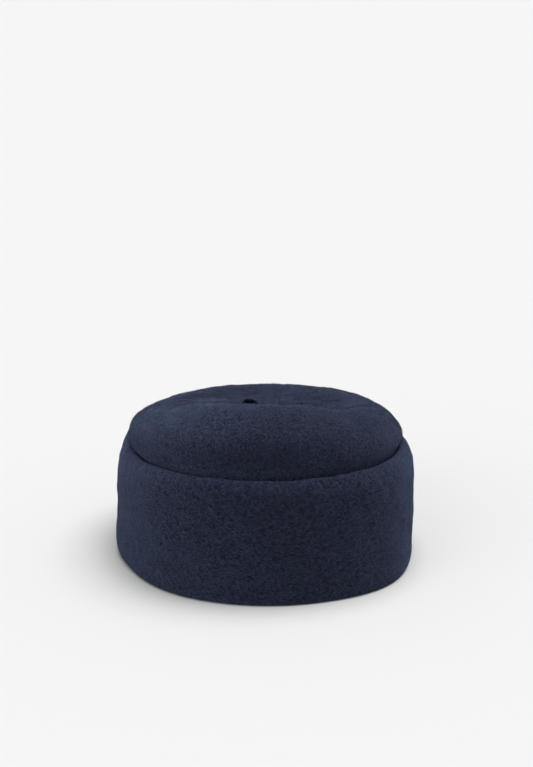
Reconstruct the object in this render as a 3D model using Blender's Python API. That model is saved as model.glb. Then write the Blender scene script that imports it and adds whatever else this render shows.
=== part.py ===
"""A wool felt hat: a soft crown with a sunken top, on a body whose hem is turned up into a tall cuff.

The hat stands on its hem. X runs across it, -Y is its front, +Z is up, and the origin lies on the
surface under its middle. A bearing is an angle round the hat: 0 at the front, 90 at +X, 180 at the back.
Sections are worked out as an inset, which is how far a point lies inside the cuff's outer face, and a height.
"""

import bmesh
import bpy
import numpy as np

# The felt, in metres.
FELT = 0.0028  # its thickness
CUFF_AIR = 0.0024  # air between the cuff and the body wall that it is turned up from
SEAM_GAP = 0.0003  # between the crown's lower edge and the body wall's upper edge
WAIST_GAP = 0.0012  # between the cuff's lip and the crown's waist

# The plan of the cuff's outer face.
CUFF_HALF_WIDTH = 0.0944
CUFF_HALF_LENGTH = 0.1042
OVAL_POWER = 2.1  # 2 is an ellipse, and more is squarer

# The cuff, from the surface up.
CUFF_HEIGHT = 0.0755
LIP_REACH = 0.0090  # how far its upper edge curls inwards
HEM_PRESS = 0.0004  # how far the hem's fold is pressed flat by what it rests on
HEM_POWER = 2.4  # 2 is a round fold, and more is squarer
SEAM_HEIGHT = 0.0560  # the body wall's upper edge, hidden behind the cuff

# The crown. Its rises are heights of its rolled edge above the cuff.
CROWN_SET_BACK = 0.0096  # its widest line, inside the cuff's outer face
FRONT_RISE = 0.0381
SIDE_RISE = 0.0211
BACK_RISE = 0.0142
CENTRE_RISE = 0.0148  # the bottom of the sunken top
LEAN_BEARING = -26.0  # where the crown stands highest, in degrees
CENTRE_X = -0.0030
CENTRE_Y = 0.0105

# The stub at the crown's centre, a short flattened tail of felt that is bent over forwards.
STUB_HALF_WIDTH = 0.0066
STUB_HEIGHT = 0.0080
STUB_DEPTH = 0.0075
STUB_WALL = 0.0017
STUB_SEAT = 0.0004  # between the stub's foot and the felt under it

# How finely the surfaces are divided.
SECTORS = 64
WALL_ROWS = 3
CUFF_ROWS = 10
CROWN_ROWS = 19
FOLD_STEPS = 7
LIP_STEPS = 4
STUB_SECTORS = 12
STUB_ROWS = 5

# The plan's soft unevenness: bearing and half-angle in degrees, and how far out, as a share of the half-width.
PLAN_SWELLS = (
    {"bearing": -122, "spread": 18, "out": -0.024},
    {"bearing": -98, "spread": 18, "out": -0.009},
    {"bearing": -62, "spread": 22, "out": 0.025},
    {"bearing": -20, "spread": 20, "out": -0.004},
    {"bearing": 22, "spread": 20, "out": 0.023},
    {"bearing": 48, "spread": 18, "out": -0.014},
    {"bearing": 76, "spread": 22, "out": 0.021},
    {"bearing": 150, "spread": 26, "out": 0.008},
)

# How the cuff's upper edge rises and sags: rise as a share of the cuff's height.
EDGE_SWELLS = (
    {"bearing": -118, "spread": 22, "rise": -0.026},
    {"bearing": -92, "spread": 20, "rise": -0.046},
    {"bearing": -30, "spread": 26, "rise": 0.008},
    {"bearing": 24, "spread": 30, "rise": 0.020},
    {"bearing": 74, "spread": 22, "rise": -0.024},
    {"bearing": 160, "spread": 50, "rise": 0.006},
)

# The cuff's outer face: inset as a share of the lip's reach, and height as a share of the cuff's height.
CUFF_FACE = (
    {"inset": 0.00, "height": 0.16},
    {"inset": -0.02, "height": 0.34},
    {"inset": -0.02, "height": 0.54},
    {"inset": 0.00, "height": 0.70},
    {"inset": 0.06, "height": 0.79},
    {"inset": 0.17, "height": 0.87},
    {"inset": 0.38, "height": 0.94},
    {"inset": 0.65, "height": 0.985},
    {"inset": 0.86, "height": 1.00},
)

# Soft dents and swells of the cuff: half-angle in degrees, and height and half-height as shares of the cuff's
# height, with how far out as a share of the half-width.
CUFF_SWELLS = (
    {"bearing": -110, "spread": 26, "height": 0.14, "tall": 0.13, "out": 0.020},
    {"bearing": -108, "spread": 30, "height": 0.92, "tall": 0.22, "out": -0.018},
    {"bearing": -48, "spread": 22, "height": 0.36, "tall": 0.20, "out": 0.008},
    {"bearing": 5, "spread": 26, "height": 0.55, "tall": 0.22, "out": -0.010},
    {"bearing": 66, "spread": 26, "height": 0.16, "tall": 0.16, "out": -0.004},
    {"bearing": 160, "spread": 30, "height": 0.50, "tall": 0.25, "out": -0.012},
)

# The crown's section from its waist to its centre: reach as a share of its widest radius, lift as a share of
# the local rise, settle, how far the ring has sunk from the rolled edge's height to the centre's, and give, how
# much of the swells of the sunken top's edge the ring follows.
CROWN_SECTION = (
    {"reach": 0.990, "lift": 0.080, "settle": 0.00, "give": 0.00},
    {"reach": 1.000, "lift": 0.190, "settle": 0.00, "give": 0.00},
    {"reach": 0.990, "lift": 0.400, "settle": 0.00, "give": 0.00},
    {"reach": 0.952, "lift": 0.620, "settle": 0.00, "give": 0.00},
    {"reach": 0.880, "lift": 0.810, "settle": 0.00, "give": 0.25},
    {"reach": 0.790, "lift": 0.945, "settle": 0.00, "give": 0.65},
    {"reach": 0.690, "lift": 1.000, "settle": 0.00, "give": 1.00},
    {"reach": 0.585, "lift": 1.000, "settle": 0.20, "give": 1.00},
    {"reach": 0.460, "lift": 1.000, "settle": 0.55, "give": 0.85},
    {"reach": 0.320, "lift": 1.000, "settle": 0.84, "give": 0.60},
    {"reach": 0.190, "lift": 1.000, "settle": 0.97, "give": 0.30},
    {"reach": 0.110, "lift": 1.000, "settle": 1.00, "give": 0.00},
)

# Where the sunken top reaches further out: out as a share of the crown's widest radius.
HOLLOW_SWELLS = (
    {"bearing": 60, "spread": 34, "out": 0.150},
)

# How the crown's side bulges further over the cuff's edge: out as a share of the half-width.
GIRTH_SWELLS = (
    {"bearing": -108, "spread": 28, "out": 0.017},
    {"bearing": 56, "spread": 26, "out": 0.017},
)

# How the crown's rolled edge rises and sags: rise as a share of the front's rise.
ROLL_SWELLS = (
    {"bearing": -172, "spread": 18, "rise": 0.006},
    {"bearing": -144, "spread": 26, "rise": -0.095},
    {"bearing": -104, "spread": 26, "rise": 0.070},
    {"bearing": -66, "spread": 16, "rise": 0.024},
    {"bearing": 20, "spread": 13, "rise": -0.050},
    {"bearing": 72, "spread": 16, "rise": -0.034},
    {"bearing": 98, "spread": 36, "rise": 0.114},
)

# Folds and dips of the crown's top. Each runs between two points given by bearing and reach from the crown's
# centre, with its half-width as a share of the hat's half-width and its rise as a share of the front's rise.
CROWN_FOLDS = (
    {"from": (-113, 0.22), "to": (-110, 0.58), "spread": 0.100, "rise": 0.100},
    {"from": (-46, 0.45), "to": (-83, 0.38), "spread": 0.170, "rise": 0.220},
    {"from": (-56, 0.64), "to": (-84, 0.61), "spread": 0.070, "rise": -0.040},
    {"from": (-83, 0.21), "to": (-60, 0.30), "spread": 0.087, "rise": 0.125},
    {"from": (20, 0.56), "to": (34, 0.62), "spread": 0.120, "rise": -0.050},
    {"from": (150, 0.45), "to": (195, 0.50), "spread": 0.160, "rise": -0.040},
)

FELT_NAVY = (0.024, 0.031, 0.061, 1.0)
FELT_ROUGHNESS = 0.95


def smooth_rows(rows, count):
    """Points along a Catmull-Rom curve through the rows, close to evenly spaced; rows may hold whole rings."""
    rows = np.asarray(rows, float)
    flat = rows.reshape(len(rows), -1)
    before = 2 * flat[0] - flat[1]
    after = 2 * flat[-1] - flat[-2]
    knots = np.vstack([before, flat, after])
    length = np.concatenate([[0], np.cumsum(np.linalg.norm(np.diff(flat, axis=0), axis=1))])
    place = np.interp(np.linspace(0, length[-1], count), length, np.arange(len(flat)))
    span = np.minimum(place.astype(int), len(flat) - 2)
    t = (place - span)[:, None]
    a, b, c, d = (knots[span + i] for i in range(4))
    curve = b + 0.5 * t * (c - a + t * (2 * a - 5 * b + 4 * c - d + t * (3 * (b - c) + d - a)))
    return curve.reshape((count,) + rows.shape[1:])


def bell(distance):
    """A soft bump: 1 in the middle, falling to nothing by a distance of about 2."""
    return np.exp(-(distance**2))


def turn_between(bearing, other):
    """The angle from one bearing to another, in degrees, between -180 and 180."""
    return (bearing - other + 180) % 360 - 180


def swells(bearing, table, column):
    """The sum of a table's soft bumps round the hat."""
    total = 0.0 * bearing
    for row in table:
        total = total + row[column] * bell(turn_between(bearing, row["bearing"]) / row["spread"])
    return total


def plan_radius(bearing):
    """Distance from the hat's axis to the cuff's outer face: a superellipse with soft swells."""
    angle = np.radians(bearing)
    across = np.abs(np.sin(angle)) / CUFF_HALF_WIDTH
    along = np.abs(np.cos(angle)) / CUFF_HALF_LENGTH
    radius = (across**OVAL_POWER + along**OVAL_POWER) ** (-1 / OVAL_POWER)
    return radius + CUFF_HALF_WIDTH * swells(bearing, PLAN_SWELLS, "out")


def edge_height(bearing):
    """Height of the cuff's upper edge."""
    return CUFF_HEIGHT * (1 + swells(bearing, EDGE_SWELLS, "rise"))


def lifted(bearing, height):
    """A height of the cuff's section, stretched above the seam to meet the upper edge."""
    stretch = (edge_height(bearing) - SEAM_HEIGHT) / (CUFF_HEIGHT - SEAM_HEIGHT)
    return np.minimum(height, SEAM_HEIGHT) + stretch * max(0.0, height - SEAM_HEIGHT)


def place(bearing, radius, height, centre=(0.0, 0.0)):
    """Points of the hat from bearings in degrees, radii and heights."""
    angle = np.radians(bearing)
    x = centre[0] + radius * np.sin(angle)
    y = centre[1] - radius * np.cos(angle)
    return np.stack(np.broadcast_arrays(x, y, height), axis=-1)


def hem_fold(radius):
    """Half a turn round the hem as (inset, height), squarer than a circle and pressed flat underneath."""
    turn = FELT + CUFF_AIR / 2
    angle = np.linspace(0, np.pi, FOLD_STEPS + 1)
    across = np.sign(np.cos(angle)) * np.abs(np.cos(angle)) ** (2 / HEM_POWER)
    down = np.sin(angle) ** (2 / HEM_POWER)
    return np.stack([turn + radius * across, np.maximum(turn - HEM_PRESS - radius * down, 0.0)], axis=1)


def cuff_face():
    """The felt's outer skin as (inset, height): down the body wall, round the hem's fold and up the cuff."""
    turn = FELT + CUFF_AIR / 2
    wall = np.linspace(SEAM_HEIGHT, 2 * turn, WALL_ROWS)
    body = np.stack([np.full(WALL_ROWS, 2 * turn), wall], axis=1)
    fold = hem_fold(turn)
    rows = [(0.0, 2 * turn)]
    rows += [(row["inset"] * LIP_REACH, row["height"] * CUFF_HEIGHT) for row in CUFF_FACE]
    return np.vstack([body, fold, smooth_rows(rows, CUFF_ROWS)])


def set_in(face, depth):
    """The face moved sideways by depth, towards the felt's other side."""
    along = np.gradient(face, axis=0)
    along /= np.linalg.norm(along, axis=1, keepdims=True)
    return face + depth * np.stack([along[:, 1], -along[:, 0]], axis=1)


def cuff_section():
    """The closed section of the folded felt, as (inset, height)."""
    outer = cuff_face()
    inner = set_in(outer, FELT)
    inner[0, 1] = outer[0, 1]
    inner[WALL_ROWS : WALL_ROWS + FOLD_STEPS + 1] = hem_fold(CUFF_AIR / 2)
    tip = (outer[-1] + inner[-1]) / 2
    out = (outer[-1] - inner[-1]) / 2
    ahead = np.array([-out[1], out[0]]) * np.sign(-out[1])
    angle = np.linspace(0, np.pi, LIP_STEPS + 2)[1:-1, None]
    lip = tip + out * np.cos(angle) + ahead * np.sin(angle)
    section = np.vstack([outer, lip, inner[::-1]])
    return section


def cuff_swell(bearing, height):
    """How far out the felt is moved at a height by the soft dents and swells of the cuff."""
    out = 0.0 * bearing
    for swell in CUFF_SWELLS:
        round_it = turn_between(bearing, swell["bearing"]) / swell["spread"]
        up_it = (height / CUFF_HEIGHT - swell["height"]) / swell["tall"]
        out = out + swell["out"] * CUFF_HALF_WIDTH * bell(round_it) * bell(up_it)
    return out


def cuff_rings(bearing):
    """The cuff's rings, one for each point of its section."""
    rings = []
    for inset, height in cuff_section():
        radius = plan_radius(bearing) - inset + cuff_swell(bearing, height)
        rings.append(place(bearing, radius, lifted(bearing, height)))
    return rings


def crown_rise(bearing):
    """Height of the rolled edge above the cuff: highest at the front, lowest at the back."""
    turn = np.radians(turn_between(bearing, LEAN_BEARING))
    tilt = (FRONT_RISE - BACK_RISE) / 2
    mean = (FRONT_RISE + BACK_RISE + 2 * SIDE_RISE) / 4
    oval = (FRONT_RISE + BACK_RISE - 2 * SIDE_RISE) / 4
    sway = FRONT_RISE * swells(bearing, ROLL_SWELLS, "rise")
    return mean + tilt * np.cos(turn) + oval * np.cos(2 * turn) + sway


def fold_lift(points, widest):
    """How far the folds of the crown's top raise each point, from its distance to each fold's line."""
    lift = np.zeros(points.shape[:-1])
    for fold in CROWN_FOLDS:
        ends = [place(float(b), r * widest, 0.0, (CENTRE_X, CENTRE_Y))[:2] for b, r in (fold["from"], fold["to"])]
        line = ends[1] - ends[0]
        share = np.clip((points[..., :2] - ends[0]) @ line / (line @ line), 0, 1)
        away = np.linalg.norm(points[..., :2] - ends[0] - share[..., None] * line, axis=-1)
        lift += fold["rise"] * FRONT_RISE * bell(away / (fold["spread"] * CUFF_HALF_WIDTH))
    return lift


def crown_outer(bearing):
    """Rings of the crown's outer face, from its lower edge behind the cuff up and in to its centre."""
    plan = plan_radius(bearing)
    rise = crown_rise(bearing)
    wall = FELT + CUFF_AIR
    waist = LIP_REACH + FELT / 2 + WAIST_GAP
    foot = SEAM_HEIGHT + SEAM_GAP
    skirt = (
        (wall, foot),
        (wall + 0.08 * (waist - wall), foot + 0.20 * (CUFF_HEIGHT - foot)),
        (wall + 0.72 * (waist - wall), foot + 0.58 * (CUFF_HEIGHT - foot)),
        (waist, CUFF_HEIGHT - 0.6 * FELT),
    )
    edge = edge_height(bearing)
    below = []
    for inset, height in skirt:
        below.append(place(bearing, plan - inset + cuff_swell(bearing, height), lifted(bearing, height)))
    rows = [below[-1]]
    widest = plan - CROWN_SET_BACK + CUFF_HALF_WIDTH * swells(bearing, GIRTH_SWELLS, "out")
    hollow = swells(bearing, HOLLOW_SWELLS, "out")
    for row in CROWN_SECTION:
        drift = min(1.0, (1 - row["reach"]) / (1 - CROWN_SECTION[-1]["reach"]))
        settle = row["settle"]
        height = (1 - settle) * (edge + row["lift"] * rise) + settle * (CUFF_HEIGHT + CENTRE_RISE)
        centre = (drift * CENTRE_X, drift * CENTRE_Y)
        reach = row["reach"] + row["give"] * hollow
        rows.append(place(bearing, reach * widest, height, centre))
    rings = np.concatenate([below[:-1], smooth_rows(rows, CROWN_ROWS)])
    top = np.clip((rings[..., 2] - CUFF_HEIGHT) / (0.8 * CENTRE_RISE), 0, 1)
    rings[..., 2] += top * fold_lift(rings, CUFF_HALF_WIDTH - CROWN_SET_BACK)
    return rings


def crown_rings(bearing):
    """The crown's rings: its outer face down from the centre, then its inner face, one felt further in."""
    outer = crown_outer(bearing)
    pole = np.array([CENTRE_X, CENTRE_Y, outer[-1, :, 2].mean()])
    closed = np.concatenate([outer, np.broadcast_to(pole, outer[-1:].shape)])
    up = np.gradient(closed, axis=0)[:-1]
    round_it = np.roll(outer, -1, axis=1) - np.roll(outer, 1, axis=1)
    normal = np.cross(round_it, up)
    normal /= np.linalg.norm(normal, axis=-1, keepdims=True)
    inner = outer - FELT * normal
    inner[0, :, 2] = outer[0, :, 2]
    under = pole - np.array([0, 0, FELT])
    return [pole[None], *outer[::-1], *inner, under[None]]


def floor_height(rings, points):
    """Height of the crown's top at points close to its centre, between its pole and the ring round it."""
    pole, ring = rings[0][0], rings[1]
    away = points[..., :2] - pole[:2]
    bearing = np.degrees(np.arctan2(away[..., 0], -away[..., 1])) % 360
    known = np.arange(len(ring) + 1) * 360 / len(ring)
    spoke = np.linalg.norm(ring[:, :2] - pole[:2], axis=1)
    reach = np.interp(bearing, known, np.append(spoke, spoke[0]))
    height = np.interp(bearing, known, np.append(ring[:, 2], ring[0, 2]))
    return pole[2] + (height - pole[2]) * np.linalg.norm(away, axis=-1) / reach


def stub_rings(crown):
    """The stub's rows: a quarter of a dome, open towards the front, over a smaller one that hollows it."""
    turn = np.radians(LEAN_BEARING)
    ahead = np.array([np.sin(turn), -np.cos(turn), 0.0])
    side = np.array([np.cos(turn), np.sin(turn), 0.0])
    middle = np.array([CENTRE_X, CENTRE_Y, STUB_SEAT]) + ahead * STUB_DEPTH / 2
    over = np.linspace(0, np.pi, STUB_SECTORS + 1)[:, None]

    def arch(back, wall):
        """One arch of the dome, at a share of its depth, set in by a wall."""
        shrink = np.sqrt(1 - back**2)
        across = (STUB_HALF_WIDTH - wall) * shrink * np.cos(over)
        up = (STUB_HEIGHT - wall) * shrink * np.sin(over)
        points = middle - ahead * back * (STUB_DEPTH - wall) + across * side + up * np.array([0, 0, 1.0])
        points[:, 2] += floor_height(crown, points)
        return points

    shares = np.sin(np.linspace(0, 1, STUB_ROWS) * np.radians(80))
    shell = [arch(share, 0.0) for share in shares[::-1]]
    hollow = [arch(share, STUB_WALL) for share in shares]
    return shell + hollow


def middle_of(rings):
    """The point of the surface under the middle of the widest extents of the rings."""
    points = np.concatenate(rings)
    middle = (points.max(axis=0) + points.min(axis=0)) / 2
    return np.array([middle[0], middle[1], 0.0])


def skin(name, rings, middle, material, joined):
    """An object whose faces run between neighbouring rings. A ring of one point is a pole, and joined says
    that the last ring meets the first."""
    mesh = bmesh.new()
    loops = [[mesh.verts.new(point - middle) for point in ring] for ring in rings]
    pairs = list(zip(loops, loops[1:]))
    if joined:
        pairs.append((loops[-1], loops[0]))
    for low, high in pairs:
        count = max(len(low), len(high))
        for i in range(count):
            j = (i + 1) % count
            corners = [low[i % len(low)], low[j % len(low)], high[j % len(high)], high[i % len(high)]]
            mesh.faces.new(list(dict.fromkeys(corners)))
    finish(name, mesh, material)


def strip_skin(name, rows, middle, material):
    """An object whose rows are open arches: faces run between rows, and each row's two ends are joined."""
    mesh = bmesh.new()
    lines = [[mesh.verts.new(point - middle) for point in row] for row in rows]
    for low, high in zip(lines, lines[1:] + lines[:1]):
        for i in range(len(low) - 1):
            mesh.faces.new([low[i], low[i + 1], high[i + 1], high[i]])
    for end in (0, -1):
        half = len(lines) // 2
        for k in range(half - 1):
            shell, hollow = lines[k : k + 2], lines[-1 - k : -3 - k : -1]
            mesh.faces.new([shell[0][end], shell[1][end], hollow[1][end], hollow[0][end]])
    finish(name, mesh, material)


def finish(name, mesh, material):
    """Turns a bmesh into a named, smooth-shaded object with its faces pointing out."""
    bmesh.ops.recalc_face_normals(mesh, faces=mesh.faces)
    data = bpy.data.meshes.new(name)
    mesh.to_mesh(data)
    mesh.free()
    data.shade_smooth()
    data.materials.append(material)
    bpy.context.scene.collection.objects.link(bpy.data.objects.new(name, data))


def felt_material(name, colour, roughness):
    """Dyed wool felt: matt, with no metal in it."""
    material = bpy.data.materials.new(name)
    material.use_nodes = True
    shader = material.node_tree.nodes["Principled BSDF"]
    shader.inputs["Base Color"].default_value = colour
    shader.inputs["Roughness"].default_value = roughness
    shader.inputs["Metallic"].default_value = 0.0
    return material


def main():
    for old in list(bpy.data.objects):
        bpy.data.objects.remove(old)
    bearing = np.arange(SECTORS) * 360 / SECTORS
    cuff = cuff_rings(bearing)
    crown = crown_rings(bearing)
    stub = stub_rings(crown)
    middle = middle_of(cuff)
    skin("cuff", cuff, middle, felt_material("cuff_felt", FELT_NAVY, FELT_ROUGHNESS), joined=True)
    skin("crown", crown, middle, felt_material("crown_felt", FELT_NAVY, FELT_ROUGHNESS), joined=False)
    strip_skin("stub", stub, middle, felt_material("stub_felt", FELT_NAVY, FELT_ROUGHNESS))


main()
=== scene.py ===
# %% [markdown]
# # A wool felt hat
# The imported solids give the hat its shape for physics: a cuff, a crown and a stub, each coarse and plain. Here each
# one is worked out again on a fine grid; the cuff and the crown are also given the small unevenness of handled felt
# and finished with a nap. The solids stay hidden in the same place, and every new piece rides on their one body.

import bpy
import numpy as np
from mathutils import Matrix, Vector


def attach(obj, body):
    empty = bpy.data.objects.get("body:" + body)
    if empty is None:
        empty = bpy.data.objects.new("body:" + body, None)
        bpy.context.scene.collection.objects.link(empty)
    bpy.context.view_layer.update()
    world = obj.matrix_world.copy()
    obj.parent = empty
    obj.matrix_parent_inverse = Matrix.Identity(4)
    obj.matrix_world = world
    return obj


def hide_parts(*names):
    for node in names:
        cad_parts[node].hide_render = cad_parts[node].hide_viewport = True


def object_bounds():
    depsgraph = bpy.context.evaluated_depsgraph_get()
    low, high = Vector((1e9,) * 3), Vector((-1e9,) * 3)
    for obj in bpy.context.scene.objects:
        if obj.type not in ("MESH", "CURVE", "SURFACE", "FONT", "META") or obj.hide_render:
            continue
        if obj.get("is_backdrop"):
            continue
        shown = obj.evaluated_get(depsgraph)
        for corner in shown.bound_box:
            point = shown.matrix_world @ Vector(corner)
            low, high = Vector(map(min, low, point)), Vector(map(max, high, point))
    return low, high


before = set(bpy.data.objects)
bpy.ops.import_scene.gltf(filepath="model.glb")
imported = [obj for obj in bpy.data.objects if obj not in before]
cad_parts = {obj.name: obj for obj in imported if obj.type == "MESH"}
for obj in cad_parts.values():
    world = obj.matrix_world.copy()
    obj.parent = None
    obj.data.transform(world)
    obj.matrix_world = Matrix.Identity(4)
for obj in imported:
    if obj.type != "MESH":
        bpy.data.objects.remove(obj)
CAD_BOX = [list(corner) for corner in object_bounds()]

# %% [markdown]
# ## Sizes of the felt
# The visual pieces take the same sizes as the solids, so that they fill the same places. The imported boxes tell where
# the solids lie, and the values here say how the felt gets from one edge to the other. A bearing is an angle round
# the hat: 0 at the front, 90 at +X, 180 at the back. An inset is how far a point lies inside the cuff's outer face.

# %% Named sizes, in metres and degrees
FELT = 0.0028
CUFF_AIR = 0.0024
SEAM_GAP = 0.0003
WAIST_GAP = 0.0012
CUFF_HALF_WIDTH = 0.0944
CUFF_HALF_LENGTH = 0.1042
OVAL_POWER = 2.1
CUFF_HEIGHT = 0.0755
LIP_REACH = 0.0090
HEM_PRESS = 0.0004
HEM_POWER = 2.4
SEAM_HEIGHT = 0.0560
CROWN_SET_BACK = 0.0096
FRONT_RISE = 0.0381
SIDE_RISE = 0.0211
BACK_RISE = 0.0142
CENTRE_RISE = 0.0148
LEAN_BEARING = -26.0
CENTRE_X = -0.0030
CENTRE_Y = 0.0105
STUB_HALF_WIDTH = 0.0066
STUB_HEIGHT = 0.0080
STUB_DEPTH = 0.0075
STUB_WALL = 0.0017
STUB_SEAT = 0.0004

# %% [markdown]
# ## Tables of swells and folds
# Soft felt that was handled is never a clean oval. Each row of a table is one soft bump or dent, as a bell curve
# with a bearing and a spread in degrees. Lengths are shares of the named sizes, so that a bump grows with its hat.

# %% The tables
PLAN_SWELLS = (
    {"bearing": -122, "spread": 18, "out": -0.024},
    {"bearing": -98, "spread": 18, "out": -0.009},
    {"bearing": -62, "spread": 22, "out": 0.025},
    {"bearing": -20, "spread": 20, "out": -0.004},
    {"bearing": 22, "spread": 20, "out": 0.023},
    {"bearing": 48, "spread": 18, "out": -0.014},
    {"bearing": 76, "spread": 22, "out": 0.021},
    {"bearing": 150, "spread": 26, "out": 0.008},
)
EDGE_SWELLS = (
    {"bearing": -118, "spread": 22, "rise": -0.026},
    {"bearing": -92, "spread": 20, "rise": -0.046},
    {"bearing": -30, "spread": 26, "rise": 0.008},
    {"bearing": 24, "spread": 30, "rise": 0.020},
    {"bearing": 74, "spread": 22, "rise": -0.024},
    {"bearing": 160, "spread": 50, "rise": 0.006},
)
CUFF_FACE = (
    {"inset": 0.00, "height": 0.16},
    {"inset": -0.02, "height": 0.34},
    {"inset": -0.02, "height": 0.54},
    {"inset": 0.00, "height": 0.70},
    {"inset": 0.06, "height": 0.79},
    {"inset": 0.17, "height": 0.87},
    {"inset": 0.38, "height": 0.94},
    {"inset": 0.65, "height": 0.985},
    {"inset": 0.86, "height": 1.00},
)
CUFF_SWELLS = (
    {"bearing": -110, "spread": 26, "height": 0.14, "tall": 0.13, "out": 0.020},
    {"bearing": -108, "spread": 30, "height": 0.92, "tall": 0.22, "out": -0.018},
    {"bearing": -48, "spread": 22, "height": 0.36, "tall": 0.20, "out": 0.008},
    {"bearing": 5, "spread": 26, "height": 0.55, "tall": 0.22, "out": -0.010},
    {"bearing": 66, "spread": 26, "height": 0.16, "tall": 0.16, "out": -0.004},
    {"bearing": 160, "spread": 30, "height": 0.50, "tall": 0.25, "out": -0.012},
)
CROWN_SECTION = (
    {"reach": 0.990, "lift": 0.080, "settle": 0.00, "give": 0.00},
    {"reach": 1.000, "lift": 0.190, "settle": 0.00, "give": 0.00},
    {"reach": 0.990, "lift": 0.400, "settle": 0.00, "give": 0.00},
    {"reach": 0.952, "lift": 0.620, "settle": 0.00, "give": 0.00},
    {"reach": 0.880, "lift": 0.810, "settle": 0.00, "give": 0.25},
    {"reach": 0.790, "lift": 0.945, "settle": 0.00, "give": 0.65},
    {"reach": 0.690, "lift": 1.000, "settle": 0.00, "give": 1.00},
    {"reach": 0.585, "lift": 1.000, "settle": 0.20, "give": 1.00},
    {"reach": 0.460, "lift": 1.000, "settle": 0.55, "give": 0.85},
    {"reach": 0.320, "lift": 1.000, "settle": 0.84, "give": 0.60},
    {"reach": 0.190, "lift": 1.000, "settle": 0.97, "give": 0.30},
    {"reach": 0.110, "lift": 1.000, "settle": 1.00, "give": 0.00},
)
HOLLOW_SWELLS = (
    {"bearing": 60, "spread": 34, "out": 0.150},
)
GIRTH_SWELLS = (
    {"bearing": -108, "spread": 28, "out": 0.017},
    {"bearing": 56, "spread": 26, "out": 0.017},
)
ROLL_SWELLS = (
    {"bearing": -172, "spread": 18, "rise": 0.006},
    {"bearing": -144, "spread": 26, "rise": -0.095},
    {"bearing": -104, "spread": 26, "rise": 0.070},
    {"bearing": -66, "spread": 16, "rise": 0.024},
    {"bearing": 20, "spread": 13, "rise": -0.050},
    {"bearing": 72, "spread": 16, "rise": -0.034},
    {"bearing": 98, "spread": 36, "rise": 0.114},
)
CROWN_FOLDS = (
    {"from": (-113, 0.22), "to": (-110, 0.58), "spread": 0.100, "rise": 0.100},
    {"from": (-46, 0.45), "to": (-83, 0.38), "spread": 0.170, "rise": 0.220},
    {"from": (-56, 0.64), "to": (-84, 0.61), "spread": 0.070, "rise": -0.040},
    {"from": (-83, 0.21), "to": (-60, 0.30), "spread": 0.087, "rise": 0.125},
    {"from": (20, 0.56), "to": (34, 0.62), "spread": 0.120, "rise": -0.050},
    {"from": (150, 0.45), "to": (195, 0.50), "spread": 0.160, "rise": -0.040},
)
print("tables:", len(PLAN_SWELLS), "swells of the plan and", len(CROWN_FOLDS), "folds of the crown")

# %% [markdown]
# ## From tables to curves
# Two small tools do most of the shaping. A bell curve turns a table's rows into soft bumps, and a chain of cubics
# runs smoothly through a few section points: its slope at each point is taken from the two points beside it. Both
# work on whole arrays at once.

# %% Helpers for bumps and curves


def bell(distance):
    """A soft bump: e to the power of minus distance squared, so 1 in the middle and nothing by about 2."""
    return np.exp(-(distance**2))


def turn_between(bearing, other):
    """The angle from one bearing to another, in degrees, between -180 and 180."""
    return (bearing - other + 180) % 360 - 180


def swells(bearing, table, column):
    """The sum of a table's bell curves round the hat."""
    total = 0.0 * bearing
    for row in table:
        total = total + row[column] * bell(turn_between(bearing, row["bearing"]) / row["spread"])
    return total


def smooth_rows(rows, count):
    """Points along a smooth curve through the rows, close to evenly spaced; rows may hold whole rings. Between two
    rows it is a cubic, and its slope at a row is half the step from the row before it to the row after it."""
    rows = np.asarray(rows, float)
    flat = rows.reshape(len(rows), -1)
    knots = np.vstack([2 * flat[0] - flat[1], flat, 2 * flat[-1] - flat[-2]])
    length = np.concatenate([[0], np.cumsum(np.linalg.norm(np.diff(flat, axis=0), axis=1))])
    spot = np.interp(np.linspace(0, length[-1], count), length, np.arange(len(flat)))
    span = np.minimum(spot.astype(int), len(flat) - 2)
    t = (spot - span)[:, None]
    a, b, c, d = (knots[span + i] for i in range(4))
    curve = b + 0.5 * t * (c - a + t * (2 * a - 5 * b + 4 * c - d + t * (3 * (b - c) + d - a)))
    return curve.reshape((count,) + rows.shape[1:])


def place(bearing, radius, height, centre=(0.0, 0.0)):
    """Points from bearings in degrees, radii and heights: x is r times the sine, y is minus r times the cosine."""
    angle = np.radians(bearing)
    x = centre[0] + radius * np.sin(angle)
    y = centre[1] - radius * np.cos(angle)
    return np.stack(np.broadcast_arrays(x, y, height), axis=-1)


# %% [markdown]
# ## The plan and the cuff's upper edge
# Seen from above the hat is a superellipse: across to a power plus along to the same power is 1. A power a little
# over 2 fills the corners of the oval slightly, as a felt band does when nothing is inside it.

# %% Plan and edge


def plan_radius(bearing):
    """Distance from the hat's axis to the cuff's outer face: a superellipse with soft swells."""
    angle = np.radians(bearing)
    across = np.abs(np.sin(angle)) / CUFF_HALF_WIDTH
    along = np.abs(np.cos(angle)) / CUFF_HALF_LENGTH
    radius = (across**OVAL_POWER + along**OVAL_POWER) ** (-1 / OVAL_POWER)
    return radius + CUFF_HALF_WIDTH * swells(bearing, PLAN_SWELLS, "out")


def edge_height(bearing):
    """Height of the cuff's upper edge: level, with soft rises and sags."""
    return CUFF_HEIGHT * (1 + swells(bearing, EDGE_SWELLS, "rise"))


def lifted(bearing, height):
    """A height of the cuff's section, stretched above the seam to meet the upper edge."""
    stretch = (edge_height(bearing) - SEAM_HEIGHT) / (CUFF_HEIGHT - SEAM_HEIGHT)
    return np.minimum(height, SEAM_HEIGHT) + stretch * np.maximum(0.0, height - SEAM_HEIGHT)


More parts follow.
